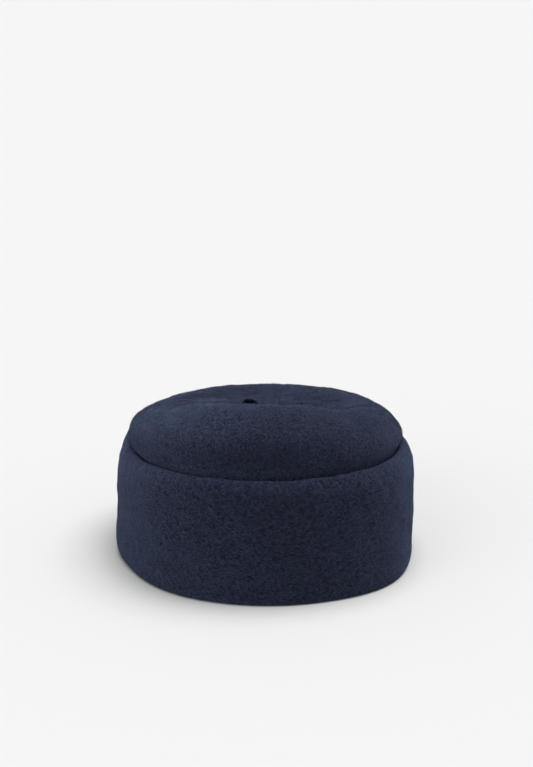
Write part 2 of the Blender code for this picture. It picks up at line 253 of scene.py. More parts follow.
def cuff_swell(bearing, height):
    """How far out the felt is moved at a height: each dent is a bell curve round the hat times one up it."""
    out = 0.0 * (bearing + height)
    for swell in CUFF_SWELLS:
        round_it = turn_between(bearing, swell["bearing"]) / swell["spread"]
        up_it = (height / CUFF_HEIGHT - swell["height"]) / swell["tall"]
        out = out + swell["out"] * CUFF_HALF_WIDTH * bell(round_it) * bell(up_it)
    return out


# %% [markdown]
# ## The cuff
# The real cuff is the body's own felt, turned up round the hem. Its section is one closed loop: down the body wall,
# round the hem, up the outer face, over the rounded lip, and back down one felt thickness away. A Solidify modifier
# could give the thickness, but then the hem's tight inner fold would cross itself, so the inner fold is its own
# smaller curve. The loop is then carried round the plan.

# %% The cuff's section

SECTORS = 320
BEARING = np.arange(SECTORS) * 360 / SECTORS - 180
WALL_ROWS = 8
FOLD_STEPS = 16
CUFF_ROWS = 56
LIP_STEPS = 9


def hem_fold(radius):
    """Half a turn round the hem as (inset, height): a superellipse, pressed flat where it meets the surface."""
    turn = FELT + CUFF_AIR / 2
    angle = np.linspace(0, np.pi, FOLD_STEPS + 1)
    across = np.sign(np.cos(angle)) * np.abs(np.cos(angle)) ** (2 / HEM_POWER)
    down = np.sin(angle) ** (2 / HEM_POWER)
    return np.stack([turn + radius * across, np.maximum(turn - HEM_PRESS - radius * down, 0.0)], axis=1)


def cuff_section():
    """The closed section as (inset, height), and the number of its points that lie on the outer skin."""
    turn = FELT + CUFF_AIR / 2
    wall = np.stack([np.full(WALL_ROWS, 2 * turn), np.linspace(SEAM_HEIGHT, 2 * turn, WALL_ROWS)], axis=1)
    rows = [(0.0, 2 * turn)]
    rows += [(row["inset"] * LIP_REACH, row["height"] * CUFF_HEIGHT) for row in CUFF_FACE]
    outer = np.vstack([wall, hem_fold(turn), smooth_rows(rows, CUFF_ROWS)])
    along = np.gradient(outer, axis=0)
    along /= np.linalg.norm(along, axis=1, keepdims=True)
    inner = outer + FELT * np.stack([along[:, 1], -along[:, 0]], axis=1)
    inner[0, 1] = outer[0, 1]
    inner[WALL_ROWS : WALL_ROWS + FOLD_STEPS + 1] = hem_fold(CUFF_AIR / 2)
    tip = (outer[-1] + inner[-1]) / 2
    out = (outer[-1] - inner[-1]) / 2
    ahead = np.array([-out[1], out[0]]) * np.sign(-out[1])
    angle = np.linspace(0, np.pi, LIP_STEPS + 2)[1:-1, None]
    lip = tip + out * np.cos(angle) + ahead * np.sin(angle)
    return np.vstack([outer, lip, inner[::-1]]), len(outer) + LIP_STEPS


SECTION, OUTER_ROWS = cuff_section()
print("the cuff's section has", len(SECTION), "points,", OUTER_ROWS, "of them on its outer skin")

# %% [markdown]
# ## Small unevenness
# Milled felt keeps shallow lumps a centimetre or two across. They are sums of cosine waves with whole numbers of
# cycles round the hat, so that the surface meets itself at the back without a step.

# %% Shallow lumps
DICE = np.random.default_rng(11)
LUMP_LENGTHS = (0.010, 0.034)
LUMP_WAVES = 40
CUFF_LUMPS = 0.00016
CROWN_LUMPS = 0.00020
LUMP_FADE_ROWS = 6
LUMP_FADE = 0.030
LUMP_FADE_DELAY = 0.6


def lumps(bearing, along, depth, shortest, longest, count):
    """A sum of cosines of bearing and of distance along the section, with random headings and lengths, in metres."""
    total = np.zeros(np.broadcast_shapes(bearing.shape, along.shape))
    for _ in range(count):
        length = DICE.uniform(shortest, longest)
        heading = DICE.uniform(0, np.pi)
        cycles = np.round(CUFF_HALF_WIDTH / length * 2 * np.pi * np.cos(heading))
        phase = DICE.uniform(0, 2 * np.pi)
        total += np.cos(cycles * np.radians(bearing) + 2 * np.pi * along / length * np.sin(heading) + phase)
    return depth * total * np.sqrt(2 / count)


def distance_along(rows):
    """Distance from the first row of a grid to each row, averaged round the hat."""
    step = np.linalg.norm(np.diff(rows, axis=0), axis=-1).mean(axis=-1)
    return np.concatenate([[0], np.cumsum(step)])[:, None]


def outward(rows, down):
    """Unit normals of a grid of points, from the cross product of its two directions; down flips them."""
    up = np.gradient(rows, axis=0)
    round_it = np.roll(rows, -1, axis=1) - np.roll(rows, 1, axis=1)
    normal = np.cross(round_it, up) * (-1 if down else 1)
    return normal / np.linalg.norm(normal, axis=-1, keepdims=True)


# %% The cuff's grid


def cuff_grid():
    """The cuff's points: each section point, set in from the plan, at every bearing."""
    inset, height = SECTION[:, :1], SECTION[:, 1:]
    radius = plan_radius(BEARING) - inset + cuff_swell(BEARING, height)
    return place(BEARING, radius, lifted(BEARING, height))


cuff = cuff_grid()
MIDDLE = (cuff.max(axis=(0, 1)) + cuff.min(axis=(0, 1))) / 2 * (1, 1, 0)
cuff = cuff - MIDDLE
print("the hat's middle lies", (1000 * MIDDLE).round(2), "mm from the axis of its plan")

# %% [markdown]
# ## Putting a grid into a mesh
# Every piece below is a grid of points, rows by columns, that closes round the hat. One function turns such a grid
# into quads, adds a pole where a grid ends in a point, and stores a flat map of the surface in metres as its UVs,
# so that a material can lay fibres along the felt.

# %% The mesh maker


def felt_mesh(name, rows, flat, joined=False, poles=()):
    """A mesh of quads between neighbouring rows. joined also links the last row to the first. Poles are a first and
    a last point, each fanned to its row. flat holds the UVs of the rows, with one more column than the rows have."""
    count, columns = rows.shape[:2]
    points = rows.reshape(-1, 3)
    row = np.arange(count if joined else count - 1)[:, None]
    column = np.arange(columns)[None]
    after, beside = (row + 1) % count, (column + 1) % columns
    quads = [row * columns + column, row * columns + beside, after * columns + beside, after * columns + column]
    quads = np.stack(np.broadcast_arrays(*quads), axis=-1).reshape(-1, 4)
    uv = [flat[row, column], flat[row, column + 1], flat[after, column + 1], flat[after, column]]
    uv = np.stack(np.broadcast_arrays(*uv), axis=2).reshape(-1, 2)
    faces = quads.tolist()
    if len(poles):
        points = np.vstack([points, poles])
        first, last = count * columns, count * columns + 1
        spin = np.arange(columns)
        ahead = (spin + 1) % columns
        end = (count - 1) * columns
        faces += np.stack([np.full(columns, first), ahead, spin], axis=1).tolist()
        faces += np.stack([np.full(columns, last), end + spin, end + ahead], axis=1).tolist()
        middle = np.zeros((columns, 2))
        fan = np.stack([middle, flat[0, 1:], flat[0, :-1]], axis=1).reshape(-1, 2)
        fan_end = np.stack([middle, flat[-1, :-1], flat[-1, 1:]], axis=1).reshape(-1, 2)
        uv = np.vstack([uv, fan, fan_end])
    data = bpy.data.meshes.new(name)
    data.from_pydata(points.tolist(), [], faces)
    layer = data.uv_layers.new(name="felt")
    layer.data.foreach_set("uv", uv.astype(np.float32).ravel())
    data.shade_smooth()
    data.validate()
    piece = bpy.data.objects.new(name, data)
    bpy.context.scene.collection.objects.link(piece)
    print(name, "has", len(data.polygons), "faces")
    return piece


# %% [markdown]
# ## Building the cuff
# The outer skin gets its lumps along its own normals. The flat map runs round the hat and up the felt, both in
# metres, and its seam lies at the back.

# %% Make the cuff
out = outward(cuff, down=True)
along = distance_along(cuff)
BARE = np.clip((np.arange(len(cuff)) - WALL_ROWS - FOLD_STEPS) / LUMP_FADE_ROWS, 0, 1)
BARE *= np.clip((OUTER_ROWS - np.arange(len(cuff))) / LUMP_FADE_ROWS, 0, 1)
cuff += BARE[:, None, None] * out * lumps(BEARING, along, CUFF_LUMPS, *LUMP_LENGTHS, LUMP_WAVES)[..., None]
ROUND = np.linspace(0, 2 * np.pi * CUFF_HALF_WIDTH, SECTORS + 1)
cuff_flat = np.stack(np.broadcast_arrays(ROUND, along), axis=-1)
cuff_piece = felt_mesh("felt_cuff", cuff, cuff_flat, joined=True)

# %% [markdown]
# ## The crown
# The crown is the felt above the band. It stands on the body wall, narrows to a waist under the cuff's lip, bulges
# out, rolls in, and sinks to a hollow. Its rolled edge is a tilted wave: high at the front and low at the back. Each
# section point is a reach from the middle, a lift towards the rolled edge and a share by which it has settled.

# %% The crown's outer skin
CROWN_ROWS = 84


def crown_rise(bearing):
    """Height of the rolled edge above the cuff: a mean, a cosine of the bearing and one of twice the bearing."""
    turn = np.radians(turn_between(bearing, LEAN_BEARING))
    tilt = (FRONT_RISE - BACK_RISE) / 2
    mean = (FRONT_RISE + BACK_RISE + 2 * SIDE_RISE) / 4
    oval = (FRONT_RISE + BACK_RISE - 2 * SIDE_RISE) / 4
    sway = FRONT_RISE * swells(bearing, ROLL_SWELLS, "rise")
    return mean + tilt * np.cos(turn) + oval * np.cos(2 * turn) + sway


def fold_distance(points, fold, widest, centre):
    """How far each point lies from a fold's line, seen from above: its distance to the nearest point of the line."""
    ends = [place(float(b), r * widest, 0.0, centre)[:2] for b, r in (fold["from"], fold["to"])]
    line = ends[1] - ends[0]
    share = np.clip((points[..., :2] - ends[0]) @ line / (line @ line), 0, 1)
    return np.linalg.norm(points[..., :2] - ends[0] - share[..., None] * line, axis=-1)


def fold_lift(points, widest):
    """How far the folds raise each point: a bell curve of its distance to each fold's line."""
    lift = np.zeros(points.shape[:-1])
    for fold in CROWN_FOLDS:
        away = fold_distance(points, fold, widest, (CENTRE_X, CENTRE_Y))
        lift += fold["rise"] * FRONT_RISE * bell(away / (fold["spread"] * CUFF_HALF_WIDTH))
    return lift


def crown_outer(bearing, count):
    """Rings of the outer skin, from the lower edge behind the cuff up and in to the centre."""
    plan = plan_radius(bearing)
    rise = crown_rise(bearing)
    edge = edge_height(bearing)
    wall = FELT + CUFF_AIR
    waist = LIP_REACH + FELT / 2 + WAIST_GAP
    foot = SEAM_HEIGHT + SEAM_GAP
    # Insets and heights of the felt on its way from the body wall to the waist.
    skirt = (
        (wall, foot),
        (wall + 0.08 * (waist - wall), foot + 0.20 * (CUFF_HEIGHT - foot)),
        (wall + 0.72 * (waist - wall), foot + 0.58 * (CUFF_HEIGHT - foot)),
        (waist, CUFF_HEIGHT - 0.6 * FELT),
    )
    below = [
        place(bearing, plan - inset + cuff_swell(bearing, height), lifted(bearing, height)) for inset, height in skirt
    ]
    rows = [below[-1]]
    hollow = swells(bearing, HOLLOW_SWELLS, "out")
    widest = plan - CROWN_SET_BACK + CUFF_HALF_WIDTH * swells(bearing, GIRTH_SWELLS, "out")
    for row in CROWN_SECTION:
        drift = min(1.0, (1 - row["reach"]) / (1 - CROWN_SECTION[-1]["reach"]))
        settle = row["settle"]
        height = (1 - settle) * (edge + row["lift"] * rise) + settle * (CUFF_HEIGHT + CENTRE_RISE)
        centre = (drift * CENTRE_X, drift * CENTRE_Y)
        rows.append(place(bearing, (row["reach"] + row["give"] * hollow) * widest, height, centre))
    rings = np.concatenate([below[:-1], smooth_rows(rows, count)])
    # The folds belong to the top, and fade out below the height of the sunken middle.
    top = np.clip((rings[..., 2] - CUFF_HEIGHT) / (0.8 * CENTRE_RISE), 0, 1)
    rings[..., 2] += top * fold_lift(rings, CUFF_HALF_WIDTH - CROWN_SET_BACK)
    return rings - MIDDLE


crown = crown_outer(BEARING, CROWN_ROWS)
CENTRE = np.array([CENTRE_X, CENTRE_Y, 0]) - MIDDLE
print("the crown rises to", round(1000 * crown[..., 2].max(), 1), "mm")

# %% [markdown]
# ## Building the crown
# The inner skin is the outer one moved in by the felt's thickness along its normals, and the two are joined at the
# lower edge. The flat map is a disc: a point's distance from the middle is its own distance along the felt, measured
# at each bearing, so nothing has a seam and no fibre is drawn out where the hollow is wide.

# %% Make the crown
pole = np.array([CENTRE[0], CENTRE[1], crown[-1, :, 2].mean()])
closed = np.concatenate([crown, np.broadcast_to(pole, crown[-1:].shape)])
normal = outward(closed, down=False)[:-1]
along = distance_along(closed)
inner = crown - FELT * normal
inner[0, :, 2] = crown[0, :, 2]
reach = np.linalg.norm(crown[..., :2] - CENTRE[:2], axis=-1)
fade = np.clip(reach / LUMP_FADE, 0, 1) * np.clip(along[:-1] / LUMP_FADE - LUMP_FADE_DELAY, 0, 1)
crown += (fade * lumps(BEARING, along[:-1], CROWN_LUMPS, *LUMP_LENGTHS, LUMP_WAVES))[..., None] * normal
crown_rows = np.concatenate([crown[::-1], inner])
to_pole = np.cumsum(np.linalg.norm(np.diff(closed, axis=0), axis=-1)[::-1], axis=0)[::-1]
left = np.concatenate([to_pole[::-1], to_pole])
left = np.concatenate([left, left[:, :1]], axis=1)
spin = np.radians(np.append(BEARING, 180.0))
crown_flat = np.stack([left * np.sin(spin), -left * np.cos(spin)], axis=-1)
poles = np.array([pole, pole - (0, 0, FELT)])
crown_piece = felt_mesh("felt_crown", crown_rows, crown_flat, poles=poles)

# %% [markdown]
# ## Painted highlight on the rim and painted shade in the hollow
# In the photograph the rim and the crests of the folds look pale, and the hollow looks dark, probably because its
# back wall is steeper than this one. A deeper hollow would be the true way. Here a number on each point paints the
# light instead: it follows the folds wherever they are moved, and the felt's material reads it as painted highlight
# on the rim and the crests and as painted shade in the hollow. It is paint in the place of depth, so from above it
# shows as a soft dark patch.

# %% Paint highlight and shade onto the crown's points
# How strong the painted highlight on the crests and the rim and the painted shade in the hollow are, as shares of the
# felt's colour.
CREST_PAINTED_HIGHLIGHT = 1.30
CREST_SPREAD = 0.7
HOLLOW_PAINTED_SHADE = 0.66
HOLLOW_STARTS = 0.68
HOLLOW_IS_FULL = 0.57
RIM_PAINTED_HIGHLIGHT = 0.72
RIM_REACH = 0.68
RIM_SPREAD = 0.06


def painted_highlight_and_shade(rows):
    """Painted light as a share of the felt's colour: painted highlight, plus, on the crests of the raised folds and on
    the rim, and painted shade, minus, in the hollow top. The hollow is a smooth step of the distance from the centre,
    the rim is a bell curve of it, and a crest is a bell curve of the distance to a fold's line."""
    widest = CUFF_HALF_WIDTH - CROWN_SET_BACK
    away = np.linalg.norm(rows[..., :2] - CENTRE[:2], axis=-1) / plan_radius(BEARING)
    step = np.clip((HOLLOW_STARTS - away) / (HOLLOW_STARTS - HOLLOW_IS_FULL), 0, 1)
    step = step * step * (3 - 2 * step)
    crest = np.zeros(rows.shape[:-1])
    for fold in CROWN_FOLDS:
        if fold["rise"] > 0:
            apart = fold_distance(rows, fold, widest, CENTRE[:2])
            crest = np.maximum(crest, bell(apart / (CREST_SPREAD * fold["spread"] * CUFF_HALF_WIDTH)))
    rim = RIM_PAINTED_HIGHLIGHT * bell((away - RIM_REACH) / RIM_SPREAD)
    return np.maximum(rim, CREST_PAINTED_HIGHLIGHT * crest * step) - HOLLOW_PAINTED_SHADE * step * (1 - crest)


# Each point of the crown carries its painted highlight or painted shade; the two poles get the hollow's full painted
# shade.
painted_light = np.append(painted_highlight_and_shade(crown_rows).ravel(), (-HOLLOW_PAINTED_SHADE, -HOLLOW_PAINTED_SHADE)).astype(np.float32)
crown_piece.data.attributes.new("painted_light", "FLOAT", "POINT").data.foreach_set("value", painted_light)
print("the crown's felt is up to", round(float(painted_light.max()), 2), "paler and", round(float(-painted_light.min()), 2), "darker")

# %% [markdown]
# ## The stub
# A felt hat of this kind keeps a short tail at its centre, pinched flat and bent over. From the front it is a small
# hood: a light edge over a dark hollow. It is a quarter of a dome over a smaller one, with a rounded lip between
# them, and its foot follows the felt under it.

# %% Make the stub
STUB_SECTORS = 40
STUB_ROWS = 14
STUB_LIP = 7


def floor_height(points):
    """Height of the crown's outer skin under points close to its centre, between the pole and the last ring."""
    away = points[..., :2] - pole[:2]
    bearing = (np.degrees(np.arctan2(away[..., 0], -away[..., 1])) + 180) % 360 - 180
    known = np.append(BEARING, 180.0)
    ring = np.append(crown[-1, :, 2], crown[-1, 0, 2])
    spoke = np.linalg.norm(crown[-1, :, :2] - pole[:2], axis=-1)
    spoke = np.append(spoke, spoke[0])
    share = np.linalg.norm(away, axis=-1) / np.interp(bearing, known, spoke)
    return pole[2] + (np.interp(bearing, known, ring) - pole[2]) * share


def stub_rows():
    """Arches from the back of the dome to its front, round the lip, and back inside. An arch at a share of the
    dome's depth shrinks as the square root of 1 less that share squared."""
    turn = np.radians(LEAN_BEARING)
    ahead = np.array([np.sin(turn), -np.cos(turn), 0.0])
    side = np.array([np.cos(turn), np.sin(turn), 0.0])
    share = np.sin(np.linspace(0, 1, STUB_ROWS) * np.radians(80))
    around = np.linspace(0, np.pi, STUB_LIP + 2)[1:-1]
    wall = np.concatenate([0 * share, STUB_WALL / 2 * (1 - np.cos(around)), 0 * share + STUB_WALL])
    lean = np.concatenate([0 * share, STUB_WALL / 2 * np.sin(around), 0 * share])
    share = np.concatenate([share[::-1], 0 * around, share])[:, None, None]
    wall, lean = wall[:, None, None], lean[:, None, None]
    over = np.linspace(0, np.pi, STUB_SECTORS + 1)[None, :, None]
    shrink = np.sqrt(1 - share**2)
    across = (STUB_HALF_WIDTH - wall) * shrink * np.cos(over)
    up = (STUB_HEIGHT - wall) * shrink * np.sin(over)
    middle = CENTRE + (0, 0, STUB_SEAT) + ahead * STUB_DEPTH / 2
    points = middle - ahead * (share * (STUB_DEPTH - wall) - lean) + across * side + up * np.array([0, 0, 1.0])
    points[..., 2] += floor_height(points)
    return points


def stub_mesh(name):
    """The stub's arches as a closed mesh: quads between the arches, and a strip of quads under each foot."""
    rows = stub_rows()
    count, columns = rows.shape[:2]
    row = np.arange(count)[:, None]
    column = np.arange(columns - 1)[None]
    after = (row + 1) % count
    here, there = row * columns + column, after * columns + column
    quads = [here, there, there + 1, here + 1]
    faces = np.stack(np.broadcast_arrays(*quads), axis=-1).reshape(-1, 4).tolist()
    outer = np.arange((count - 1) // 2)
    inner_row = count - 1 - outer
    for end, flip in ((0, 1), (columns - 1, -1)):
        strip = np.stack([outer, outer + 1, inner_row - 1, inner_row], axis=1) * columns + end
        faces += [[v for i, v in enumerate(face) if v not in face[:i]][::flip] for face in strip.tolist()]
    data = bpy.data.meshes.new(name)
    data.from_pydata(rows.reshape(-1, 3).tolist(), [], faces)
    layer = data.uv_layers.new(name="felt")
    corner = np.zeros(len(data.loops), np.int32)
    data.loops.foreach_get("vertex_index", corner)
    layer.data.foreach_set("uv", rows.reshape(-1, 3)[corner, :2].astype(np.float32).ravel())
    data.shade_smooth()
    piece = bpy.data.objects.new(name, data)
    bpy.context.scene.collection.objects.link(piece)
    print(name, "has", len(data.polygons), "faces")
    return piece


stub_piece = stub_mesh("felt_stub")

# %% [markdown]
# ## Nap
# The felt is milled wool, and its surface is a mat of loose fibres a few millimetres long. Bump alone would leave
# the outline sharp, so fibres are laid on the surface: each is a bent, three-sided spike, thin as a hair, that
# starts in the felt and lifts off it a little. A particle system would need to be converted anyway, so the spikes
# are worked out directly, thousands at a time.

# %% The fibre maker
FLOOR_CLEAR = 0.0001
FIBRE_LENGTH = 0.0034
FIBRE_LIFT = 0.00022
FIBRE_THICK = 0.00009
LENGTH_SHARES = (0.5, 1.5)
THICK_SHARES = (0.7, 1.3)
LIFT_SHAPE = (1.6, 0.6)
TONE_SHAPE = (1.6, 2.4)
LEVEL_STRAY = 0.45
BEND_STRAY = 0.22


def nap(name, rows, outside, count, level):
    """A mesh of closed spikes on a grid's outer skin. Cells are drawn by their area. A fibre's heading is level for
    level 1 and any way for level 0, and its path is a parabola that bends sideways and lifts off the surface. No
    fibre goes below the floor. outside is 1 or -1, whichever turns the grid's normals out."""
    up = np.gradient(rows, axis=0)
    round_it = (np.roll(rows, -1, axis=1) - np.roll(rows, 1, axis=1)) / 2
    area = np.linalg.norm(np.cross(round_it, up), axis=-1)
    area[-1] = 0
    normal = outside * np.cross(round_it, up)
    normal /= np.linalg.norm(normal, axis=-1, keepdims=True)
    cell = DICE.choice(area.size, count, p=(area / area.sum()).ravel())
    i, j = np.unravel_index(cell, area.shape)
    u, v = DICE.random((2, count, 1))
    j2 = (j + 1) % rows.shape[1]
    i2 = np.minimum(i + 1, len(rows) - 1)
    root = (1 - v) * ((1 - u) * rows[i, j] + u * rows[i, j2]) + v * ((1 - u) * rows[i2, j] + u * rows[i2, j2])
    n = normal[i, j]
    east = round_it[i, j] / np.linalg.norm(round_it[i, j], axis=-1, keepdims=True)
    north = np.cross(n, east)
    near_level = DICE.random(count) < level
    heading = np.where(near_level, DICE.normal(0, LEVEL_STRAY, count), DICE.uniform(0, np.pi, count))
    heading += np.pi * (DICE.random(count) < 0.5)
    heading = heading[:, None]
    ahead = np.cos(heading) * east + np.sin(heading) * north
    side = np.cross(n, ahead)
    size = FIBRE_LENGTH * DICE.uniform(*LENGTH_SHARES, (count, 1))
    bend = size * DICE.normal(0, BEND_STRAY, (count, 1))
    rise = FIBRE_LIFT * DICE.gamma(*LIFT_SHAPE, (count, 1))
    radius = FIBRE_THICK / 2 * DICE.uniform(*THICK_SHARES, (count, 1))
    mid = root + 0.5 * size * ahead + 0.25 * bend * side + rise * n
    tip = root + size * ahead + bend * side + 0.7 * rise * n
    sink = root - 0.5 * radius * n
    ring = []
    for turn in np.arange(3) * 2 * np.pi / 3:
        ring.append(np.cos(turn) * side + np.sin(turn) * n)
    base = [sink + radius * r for r in ring]
    waist = [mid + 0.8 * radius * r for r in ring]
    points = np.stack(base + waist + [tip], axis=1).reshape(-1, 3)
    points[:, 2] = np.maximum(points[:, 2], FLOOR_CLEAR)
    one = [[0, 2, 1]]
    for k in range(3):
        m = (k + 1) % 3
        one += [[k, m, 3 + m], [k, 3 + m, 3 + k], [3 + k, 3 + m, 6]]
    faces = (np.array(one)[None] + 7 * np.arange(count)[:, None, None]).reshape(-1, 3)
    data = bpy.data.meshes.new(name)
    data.from_pydata(points.tolist(), [], faces.tolist())
    tone = np.repeat(DICE.beta(*TONE_SHAPE, count), 7).astype(np.float32)
    data.attributes.new("tone", "FLOAT", "POINT").data.foreach_set("value", tone)
    data.shade_smooth()
    piece = bpy.data.objects.new(name, data)
    bpy.context.scene.collection.objects.link(piece)
    print(name, "has", count, "fibres and", len(data.polygons), "faces")
    return piece


# %% Lay the nap
# Only felt that shows gets fibres: the cuff from its hem to its lip, and the crown from where it leaves the skirt.
FIBRES = 19000
HEM_ROW = WALL_ROWS + 3 * FOLD_STEPS // 4
WAIST_ROW = 8
cuff_nap = nap("cuff_nap", cuff[HEM_ROW:OUTER_ROWS], -1, FIBRES, level=0.7)
crown_nap = nap("crown_nap", crown[WAIST_ROW:], 1, FIBRES, level=0.3)

# %% [markdown]
# ## The felt's material
# Close up the felt is never one blue. Pale fibres lie over each other in short streaks, the ground between them is a
# fine grain of darker specks, and the loose ends catch light at a grazing angle. The streaks come from one node group
# that the cuff, the crown and the stub share, each with its own lengths. The glow at grazing angles is the shader's
# own sheen.

# %% The streaks as a node group
NAVY_DARK = (0.0052, 0.0062, 0.0140, 1)
NAVY = (0.0105, 0.0132, 0.0295, 1)
NAVY_PALE = (0.074, 0.094, 0.176, 1)
WANDER_SCALE = 260.0
STREAK_HEADINGS = (0.12, -0.45, 1.05)
STREAK_CUT = (0.55, 0.74)
LAYER_STEP = (7.3, 3.1, 5.7)
GRAIN_SCALE = 1600.0
GRAIN_HEIGHT = 0.8


def add(tree, kind, **values):
    """A node of a kind, with its properties and its inputs' plain values set by name."""
    node = tree.nodes.new(kind)
    for key, value in values.items():
        if hasattr(node, key):
            setattr(node, key, value)
        else:
            node.inputs[key.replace("_", " ")].default_value = value
    return node


def maths(tree, operation, first, second):
    """A Math node that joins two values, each a socket or a number."""
    node = tree.nodes.new("ShaderNodeMath")
    node.operation = operation
    for socket, value in zip(node.inputs, (first, second)):
        if isinstance(value, (int, float)):
            socket.default_value = value
        else:
            tree.links.new(value, socket)
    return node.outputs[0]


def streak_group():
    """Wool streaks: noise stretched along three headings, bent by a wider noise, each cut to its brightest threads.
    Its inputs are a flat place in metres and the streaks' length and width, and it puts out a mask and a height."""
    tree = bpy.data.node_groups.new("wool_streaks", "ShaderNodeTree")
    for label, kind, value in (("Place", "NodeSocketVector", None), ("Length", "NodeSocketFloat", 0.004),
                               ("Width", "NodeSocketFloat", 0.0006), ("Bend", "NodeSocketFloat", 0.002)):
        socket = tree.interface.new_socket(label, in_out="INPUT", socket_type=kind)
        if value is not None:
            socket.default_value = value
    for label in ("Streaks", "Height"):
        tree.interface.new_socket(label, in_out="OUTPUT", socket_type="NodeSocketFloat")
    start = tree.nodes.new("NodeGroupInput")
    end = tree.nodes.new("NodeGroupOutput")
    wander = add(tree, "ShaderNodeTexNoise", noise_dimensions="3D", Scale=WANDER_SCALE, Detail=1.0)
    tree.links.new(start.outputs["Place"], wander.inputs["Vector"])
    centred = add(tree, "ShaderNodeVectorMath", operation="SUBTRACT")
    centred.inputs[1].default_value = (0.5, 0.5, 0.5)
    tree.links.new(wander.outputs["Color"], centred.inputs[0])
    pushed = add(tree, "ShaderNodeVectorMath", operation="SCALE")
    tree.links.new(centred.outputs[0], pushed.inputs[0])
    tree.links.new(start.outputs["Bend"], pushed.inputs["Scale"])
    bent = add(tree, "ShaderNodeVectorMath", operation="ADD")
    tree.links.new(start.outputs["Place"], bent.inputs[0])
    tree.links.new(pushed.outputs[0], bent.inputs[1])
    per_length = maths(tree, "DIVIDE", 1.0, start.outputs["Length"])
    per_width = maths(tree, "DIVIDE", 1.0, start.outputs["Width"])
    stretch = add(tree, "ShaderNodeCombineXYZ", Z=1.0)
    tree.links.new(per_length, stretch.inputs["X"])
    tree.links.new(per_width, stretch.inputs["Y"])
    total = None
    for layer, heading in enumerate(STREAK_HEADINGS):
        turned = add(tree, "ShaderNodeVectorRotate", rotation_type="Z_AXIS", Angle=heading)
        tree.links.new(bent.outputs[0], turned.inputs["Vector"])
        scaled = add(tree, "ShaderNodeVectorMath", operation="MULTIPLY_ADD")
        tree.links.new(turned.outputs[0], scaled.inputs[0])
        tree.links.new(stretch.outputs[0], scaled.inputs[1])
        scaled.inputs[2].default_value = [layer * step for step in LAYER_STEP]
        threads = add(tree, "ShaderNodeTexNoise", noise_dimensions="3D", Scale=1.0, Detail=1.5, Roughness=0.6)
        tree.links.new(scaled.outputs[0], threads.inputs["Vector"])
        cut = add(tree, "ShaderNodeMapRange", clamp=True)
        cut.inputs["From Min"].default_value, cut.inputs["From Max"].default_value = STREAK_CUT
        tree.links.new(threads.outputs[0], cut.inputs["Value"])
        total = cut.outputs[0] if total is None else maths(tree, "MAXIMUM", total, cut.outputs[0])
    grain = add(tree, "ShaderNodeTexNoise", noise_dimensions="3D", Scale=GRAIN_SCALE, Detail=2.0, Roughness=0.7)
    tree.links.new(start.outputs["Place"], grain.inputs["Vector"])
    height = maths(tree, "ADD", total, maths(tree, "MULTIPLY", grain.outputs[0], GRAIN_HEIGHT))
    tree.links.new(total, end.inputs["Streaks"])
    tree.links.new(height, end.inputs["Height"])
    return tree


STREAKS = streak_group()
print("the group", STREAKS.name, "has", len(STREAKS.nodes), "nodes")

# %% [markdown]
# ## Felt and fibre
# Felt mixes three blues: a dark one in the specks between fibres, the dye's own, and a pale one on the streaks. On the
# crown the mix is scaled by the painted highlight and painted shade that its points carry, and a piece without them
# keeps its own. Each fibre of the nap carries a tone, which picks a blue between the dark one and the pale one.

# %% The two materials
SPECK_SCALE = 1300.0
SPECK_RANGE = (0.36, 0.64)
STREAK_SHARE = 0.80


def mix_colours(tree, share, first, second):
    """A Mix node for colours, from a share socket and two colours or sockets."""
    node = tree.nodes.new("ShaderNodeMix")
    node.data_type = "RGBA"
    tree.links.new(share, node.inputs["Factor"])
    for socket, value in ((node.inputs[6], first), (node.inputs[7], second)):
        if isinstance(value, tuple):
            socket.default_value = value
        else:
            tree.links.new(value, socket)
    return node.outputs[2]


def felt_material(name, length=0.0027, width=0.00036):
    """Milled wool: streaks on the piece's own flat map, over specks of noise that run through the hat, and the whole
    times 1 plus the points' painted highlight and painted shade."""
    material = bpy.data.materials.new(name)
    material.use_nodes = True
    tree = material.node_tree
    shader = tree.nodes["Principled BSDF"]
    flat = add(tree, "ShaderNodeUVMap", uv_map="felt")
    place_in_hat = tree.nodes.new("ShaderNodeTexCoord")
    streaks = tree.nodes.new("ShaderNodeGroup")
    streaks.node_tree = STREAKS
    streaks.inputs["Length"].default_value = length
    streaks.inputs["Width"].default_value = width
    tree.links.new(flat.outputs[0], streaks.inputs["Place"])
    specks = add(tree, "ShaderNodeTexNoise", Scale=SPECK_SCALE, Detail=3.0, Roughness=0.65)
    tree.links.new(place_in_hat.outputs["Object"], specks.inputs["Vector"])
    spread = add(tree, "ShaderNodeMapRange", clamp=True)
    spread.inputs["From Min"].default_value, spread.inputs["From Max"].default_value = SPECK_RANGE
    tree.links.new(specks.outputs[0], spread.inputs["Value"])
    ground = mix_colours(tree, spread.outputs[0], NAVY_DARK, NAVY)
    shown = maths(tree, "MULTIPLY", streaks.outputs["Streaks"], STREAK_SHARE)
    # The crown's points carry painted highlight on the rim and crests and painted shade in the hollow; they scale the
    # felt's colour.
    painted_light = add(tree, "ShaderNodeAttribute", attribute_name="painted_light")
    colour_with_painted_light = add(tree, "ShaderNodeVectorMath", operation="SCALE")
    tree.links.new(mix_colours(tree, shown, ground, NAVY_PALE), colour_with_painted_light.inputs[0])
    tree.links.new(maths(tree, "ADD", 1.0, painted_light.outputs["Fac"]), colour_with_painted_light.inputs["Scale"])
    tree.links.new(colour_with_painted_light.outputs[0], shader.inputs["Base Color"])
    shader.inputs["Roughness"].default_value = 0.95
    shader.inputs["Specular IOR Level"].default_value = 0.15
    shader.inputs["Sheen Weight"].default_value = 0.55
    shader.inputs["Sheen Roughness"].default_value = 0.34
    shader.inputs["Sheen Tint"].default_value = (0.42, 0.54, 0.96, 1)
    bump = add(tree, "ShaderNodeBump", Strength=1.0, Distance=0.0005)
    tree.links.new(streaks.outputs["Height"], bump.inputs["Height"])
    tree.links.new(bump.outputs[0], shader.inputs["Normal"])
    return material


